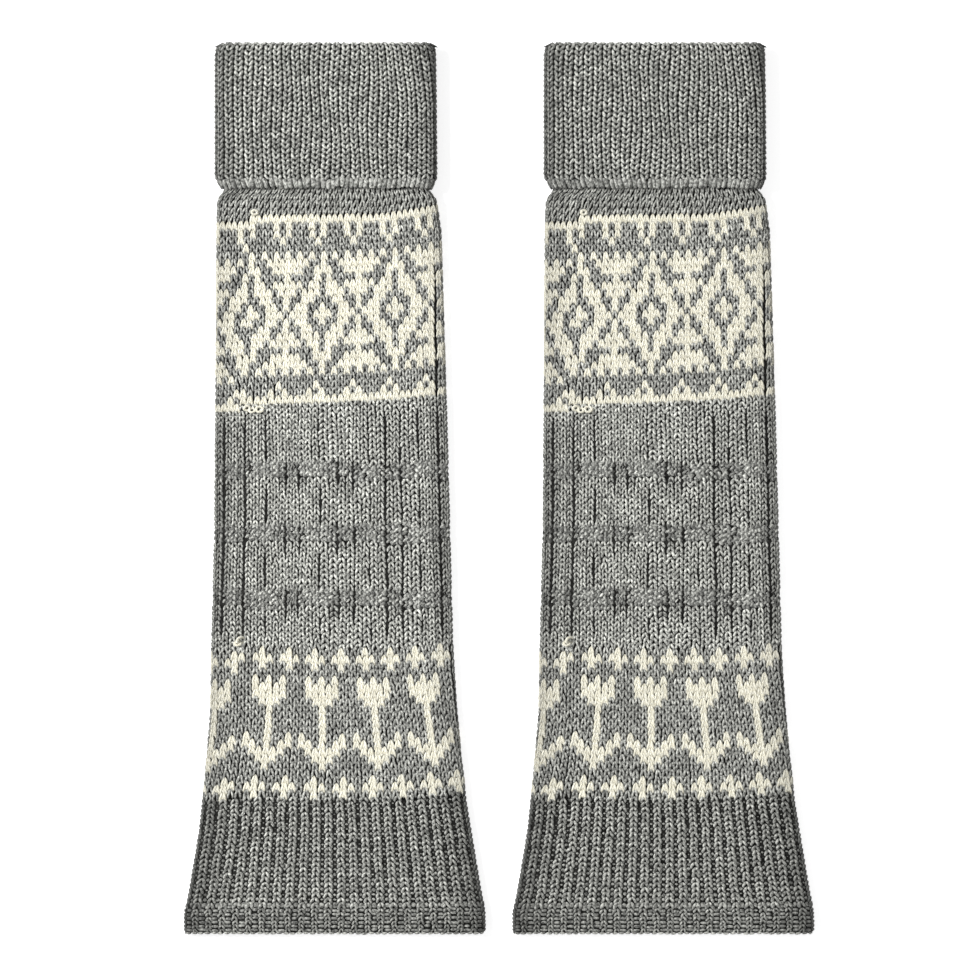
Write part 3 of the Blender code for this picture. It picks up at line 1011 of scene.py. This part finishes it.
def texture_parts(under):
    """Arrows and seeds of the textured zone on one side."""
    share, y, width, beside = under_columns() if under else front_columns()
    dimple = dimple_depth(share, y)
    # Painted shadow beside the furrows and in the dimples
    shadow = (1 - FURROW_SHADOW * beside) * (1 - DIMPLE_SHADOW * dimple)
    sink = FURROW_SINK * beside + DIMPLE_SINK * dimple
    seeded = seed_distance(y - TEXTURE_ROW / 2) == 0
    arrows = stitches(
        share, y, width, TEXTURE_ROW, under=under, sink=sink, wobble=0.8,
        shade=TEXTURE_PAINTED_LIGHT * shadow, edge_shade=TEXTURE_EDGE_SHADE,
    )
    parts = [(under_rib_arrow if under else rib_arrow, only(arrows, ~seeded), body_surface)]
    share, y, width, shadow, sink = (values[seeded] for values in (share, y, width, shadow, sink))
    for side, drop, seed_sink, shade in SEEDS:
        cells = stitches(
            share + side * width / 4, y - drop * TEXTURE_ROW, width, TEXTURE_ROW, under=under, wobble=2.0,
            sink=np.minimum(seed_sink + sink, DEEPEST_SEED), lean=SEED_LEAN * np.where(drop < 0.5, 1, -1),
            shade=shade * shadow, edge_shade=TEXTURE_EDGE_SHADE, spread=0.25,
        )
        parts.append((seed, cells, body_surface))
    return parts


texture = {
    ("front", "grey"): texture_parts(False), ("under", "grey"): texture_parts(True),
    ("front", "cream"): [], ("under", "cream"): [],
}
for side, middle in WARMER_MIDDLES.items():
    pieces["shaft", side] = []
    for colour, yarn in (("grey", grey_yarn), ("cream", cream_yarn)):
        for face, ending in (("front", "_"), ("under", "_under_")):
            parts = upper_parts[face, colour] + texture[face, colour] + lower_parts[face, colour]
            name = "shaft_" + colour + "_stitches" + ending + side
            pieces["shaft", side].append(knit_mesh(name, parts, middle, yarn))

# %% [markdown]
# ## Ribs: the flared ribbing, the hem and the cuff
#
# Ribbing alternates columns of plain stitches with columns of purl. The plain ones stand up as rows of
# arrows, and the purl ones sink between them and show only the backs of their loops, as short bars. The
# hem is knitted tighter and rolled, so its rows are lower and its bars lie almost at the surface. In the
# cuff the ribs close up and the purl columns disappear in narrow dark gaps.

# %% Stitches of the ribbing and the hem
RIB_COUNT = 22
RIB_PITCH = 0.0428
FIRST_RIB = 0.0505
RIB_ROW = 2.3
RIBBING_TOP_Y = -142.2
RIBBING_ROWS = 22
HEM_TOP_Y = -191.5
HEM_ROW = 1.8
HEM_ROWS = 7
HEM_EDGE_Y = -204.6
# Painted shade: the tight, rolled hem is painted darker than the same yarn elsewhere, and the ribbing a
# little
HEM_SHADE = 0.8
# Painted shade: the purl bars, sunk between the ribs, are painted darker
BAR_SHADE = 0.72
BAR_FULLER = 1.1
BAR_WOBBLE = 1.4
# Part, top, rows, a row's height, wobble and painted shade
RIBBED_PARTS = (
    ("ribbing", RIBBING_TOP_Y, RIBBING_ROWS, RIB_ROW, 0.8, 0.96),
    ("hem", HEM_TOP_Y, HEM_ROWS, HEM_ROW, 1.2, HEM_SHADE),
)
# y, then the widths of a rib and of a bar as shares, how deep the bars lie, and how round a rib is
RIB_FORM = (
    (-142.0, 0.0320, 0.018, 1.00, 0.35),
    (-188.0, 0.0310, 0.019, 0.85, 0.35),
    (-197.0, 0.0235, 0.024, 0.40, 0.28),
    (-204.0, 0.0185, 0.027, 0.15, 0.25),
)


def rib_parts(top_y, rows, row_height, under, wobble, shade):
    """Ribs of arrows with bars between them; towards the hem's edge the ribs narrow and the bars rise."""
    rows, numbers = grid(np.arange(rows), np.arange(-1, RIB_COUNT + 1))
    share = FIRST_RIB + RIB_PITCH * numbers
    y = top_y - row_height * rows
    y = y + shift_at(share * FRONT_COLUMNS, y)
    rib_width, bar_width, bar_sink, crown = (read_table(RIB_FORM, y, column) for column in (1, 2, 3, 4))
    arrows = stitches(
        share, y, rib_width, row_height, under=under, crown=crown, wobble=wobble, shade=shade,
        edge_shade=DEEP_EDGE_SHADE,
    )
    between = numbers < RIB_COUNT
    bars = stitches(
        share[between] + RIB_PITCH / 2, y[between] - row_height / 2, bar_width[between],
        row_height * BAR_FULLER, under=under, sink=bar_sink[between], wobble=wobble * BAR_WOBBLE,
        shade=BAR_SHADE, edge_shade=DEEP_EDGE_SHADE,
    )
    leg_pattern, bar_pattern = (under_rib_arrow, under_bar) if under else (rib_arrow, bar)
    return [(leg_pattern, arrows, body_surface), (bar_pattern, bars, body_surface)]


for side, middle in WARMER_MIDDLES.items():
    for part, top_y, rows, row, wobble, shade in RIBBED_PARTS:
        both = []
        for under in (False, True):
            both += rib_parts(top_y, rows, row, under, wobble, shade)
            if part == "hem":
                edge_share = np.arange(0.0, 1.0, RIB_PITCH / 2)
                edge = stitches(edge_share, HEM_EDGE_Y, RIB_PITCH / 2, HEM_ROW, under=under)
                both.append((bar, edge, body_surface))
        pieces[part, side] = [knit_mesh(part + "_stitches_" + side, both, middle, grey_yarn)]

# %% Stitches of the cuff
CUFF_RIB_COUNT = 21
CUFF_RIB_PITCH = 0.04075
FIRST_CUFF_RIB = 0.0926
CUFF_COLUMN = 0.0385
CUFF_ROW = 2.37
CUFF_FIRST_ROW_Y = 141.4
CUFF_ROWS = 30
CUFF_CROWN = 0.5
LOOP_TOP_Y = 142.3
LOOP_ROW = 4.7
LOOP_FULLER = 1.15
# Painted shade: the loops at the cuff's lower edge, where it curls under, are painted darker
LOOP_SHADE = 0.74
LOOP_SINK = 0.25
FOLD_SINK = 0.3
# How far the ribs are pulled, from which share of the width on, and over which heights
PULL_SHARE = 0.065
PULL_START = 0.72
PULL_LOW_Y = 175.0
PULL_HEIGHT = 30.0
PULL_EASE = 0.4
PULL_RISE = 1.5
CUFF_WANDER = 0.006
CUFF_WANDER_LENGTH = 52.0
CUFF_WANDER_TURN = 2.3
CORNER_SHARE = 0.008
UNDER_CORNER_SHARE = -0.03


def cuff_columns(share, along, under):
    """The ribs of the cuff wander a little, and at its top right the fold pulls them round the tube."""
    right = np.clip((share - PULL_START) / (1 - PULL_START), 0, 1)
    high = np.clip((along - PULL_LOW_Y) / PULL_HEIGHT, 0, 1)
    wave = np.sin(2 * np.pi * (along / CUFF_WANDER_LENGTH + CUFF_WANDER_TURN * share))
    wander = CUFF_WANDER * wave * np.sin(np.pi * np.clip(share, 0, 1))
    pull = PULL_SHARE * right * (1 - right * PULL_EASE) * high ** PULL_RISE
    return share + np.where(under, pull, -pull) + wander


def pulled_cuff_surface(share, along, sink, under):
    """The cuff's surface with its ribs pulled aside; the last rows stop at its corners."""
    share = cuff_columns(share, along, under)
    on_fold = along > FOLD_START_Y - CUFF_ROW
    corner = UNDER_CORNER_SHARE if under else CORNER_SHARE
    share = np.where(on_fold, np.clip(share, corner, 1 - corner), share)
    return cuff_surface(share, along, sink, under)


def cuff_parts(under):
    """Downward arrows of the cuff's ribs, and the round loops that end them."""
    rows, numbers = grid(np.arange(CUFF_ROWS), np.arange(-2, CUFF_RIB_COUNT + 2))
    share = FIRST_CUFF_RIB + CUFF_RIB_PITCH * numbers
    along = CUFF_FIRST_ROW_Y + CUFF_ROW * rows
    on_fold = np.clip((along - FOLD_START_Y + CUFF_ROW) / CUFF_ROW, 0, 1)
    arrows = stitches(
        share, along, -CUFF_COLUMN, -CUFF_ROW, under=under, crown=CUFF_CROWN, wobble=0.5,
        sink=FOLD_SINK * on_fold, edge_shade=DEEP_EDGE_SHADE,
    )
    loop_share = FIRST_CUFF_RIB + CUFF_RIB_PITCH * (np.arange(-2, CUFF_RIB_COUNT + 1) + 0.5)
    loops = stitches(
        loop_share, LOOP_TOP_Y, CUFF_RIB_PITCH, LOOP_ROW, under=under, sink=LOOP_SINK, wobble=1.3,
        fuller=LOOP_FULLER, shade=LOOP_SHADE, edge_shade=DEEP_EDGE_SHADE,
    )
    pattern = under_rib_arrow if under else rib_arrow
    return [(pattern, arrows, pulled_cuff_surface), (loop, loops, cuff_surface)]


for side, middle in WARMER_MIDDLES.items():
    parts = cuff_parts(False) + cuff_parts(True)
    pieces["cuff", side] = [knit_mesh("cuff_stitches_" + side, parts, middle, grey_yarn)]

# %% [markdown]
# ## Loose loops of cream yarn
#
# Where the cream yarn was picked up or cut off, short ends show as tiny loops on the right side. Each one
# is a small torus, squashed, tilted and half sunk into the cloth, and the loops of a warmer are joined.

# %% Loose loops
# Place in millimetres from the warmer's middle, size, tilt in degrees
LOOSE_LOOPS = (
    (-36.7, 126.9, 1.25, 10), (-40.3, 36.9, 1.3, 15), (-38.0, 36.0, 1.3, -20), (-34.6, 36.4, 1.6, -12),
    (-43.2, -69.9, 2.0, 40), (-44.6, -71.3, 1.3, -25),
)
LOOP_YARN = 0.68
LOOP_DEPTH = 0.1
LOOP_TURN = 20
LOOP_SQUASH = 0.8
for side, middle in WARMER_MIDDLES.items():
    rings = []
    for x, y, size, tilt in LOOSE_LOOPS:
        place = ((x + middle) * MM, y * MM, (read_table(BODY_LEVELS, y, 2) - LOOP_DEPTH) * MM)
        bpy.ops.mesh.primitive_torus_add(
            major_segments=16, minor_segments=6, major_radius=size * MM, minor_radius=LOOP_YARN * MM,
            location=place, rotation=(math.radians(tilt), 0, math.radians(LOOP_TURN + tilt)),
        )
        bpy.ops.object.mode_set(mode="EDIT")
        bpy.ops.mesh.select_all(action="SELECT")
        bpy.ops.transform.resize(value=(1.0, LOOP_SQUASH, 1.0), center_override=place)
        bpy.ops.object.mode_set(mode="OBJECT")
        rings.append(bpy.context.object)
    bpy.ops.object.select_all(action="DESELECT")
    for ring in rings:
        ring.select_set(True)
    bpy.ops.object.join()
    bpy.ops.object.transform_apply(location=True, rotation=True, scale=True)
    loops = bpy.context.object
    loops.name = "cream_loops_" + side
    loops.data.uv_layers[0].name = "strand"
    shade = loops.data.attributes.new("shade", "FLOAT_COLOR", "POINT")
    shade.data.foreach_set("color", np.ones(4 * len(loops.data.vertices)))
    bpy.ops.object.shade_smooth()
    loops.data.materials.append(cream_yarn)
    pieces["shaft", side].append(loops)
print("loose loops on each warmer:", len(LOOSE_LOOPS))

# %% [markdown]
# ## Joining the looks to the imported model
#
# Each shell stands for its solid, and the stitches go with it. The whole object is one rigid body here,
# so every piece rides on the root.

for (part, side), shell in shells.items():
    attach(shell, "root")
    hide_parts(part + "_" + side)
    for piece in pieces[part, side]:
        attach(piece, "root")
print("declared sheets:", len(shells))

# %% [markdown]
# ## Floor, light and camera
#
# The photograph looks straight down through a long lens, under large soft lights that leave almost no
# shadow. The left legs of the stitches are the brighter ones, so the main light comes from the left. A
# long lens far away keeps the tubes' sides upright.

# %% Floor
WHITE = (1.0, 1.0, 1.0, 1.0)
FLOOR_COLOUR = (0.93, 0.93, 0.93, 1.0)
FLOOR_SIZE = 3.0
bpy.ops.mesh.primitive_plane_add(size=FLOOR_SIZE, location=(0, 0, 0))
floor = bpy.context.object
floor.name = "floor"
floor_paint, _, floor_shader = new_material("pale_floor")
set_inputs(floor_shader, Base_Color=FLOOR_COLOUR, Roughness=0.9, Emission_Color=WHITE, Emission_Strength=0.6)
floor.data.materials.append(floor_paint)

# %% Lights
scene = bpy.context.scene
scene.view_settings.view_transform = "Standard"
world = bpy.data.worlds.new("studio")
world.use_nodes = True
set_inputs(world.node_tree.nodes["Background"], Color=WHITE, Strength=0.30)
scene.world = world


def soft_light(name, place, size, power):
    """A large square light that looks at the middle of the object."""
    bpy.ops.object.light_add(type="AREA", location=place)
    light = bpy.context.object
    light.name = name
    light.data.size = size
    light.data.energy = power
    light.rotation_euler = (-light.location).to_track_quat("-Z", "Y").to_euler()


soft_light("main_light", (-1.15, 0.45, 0.95), 0.4, 35.0)
soft_light("fill_light", (1.2, -0.4, 1.3), 1.2, 7.0)

# %% Camera
CAMERA_PLACE = (-0.0042, -0.00069, 1.257)
CAMERA_LENS = 100.0
SENSOR_WIDTH = 36.0
bpy.ops.object.camera_add(location=CAMERA_PLACE, rotation=(0, 0, 0))
camera = bpy.context.object
camera.data.lens = CAMERA_LENS
camera.data.sensor_width = SENSOR_WIDTH
scene.camera = camera
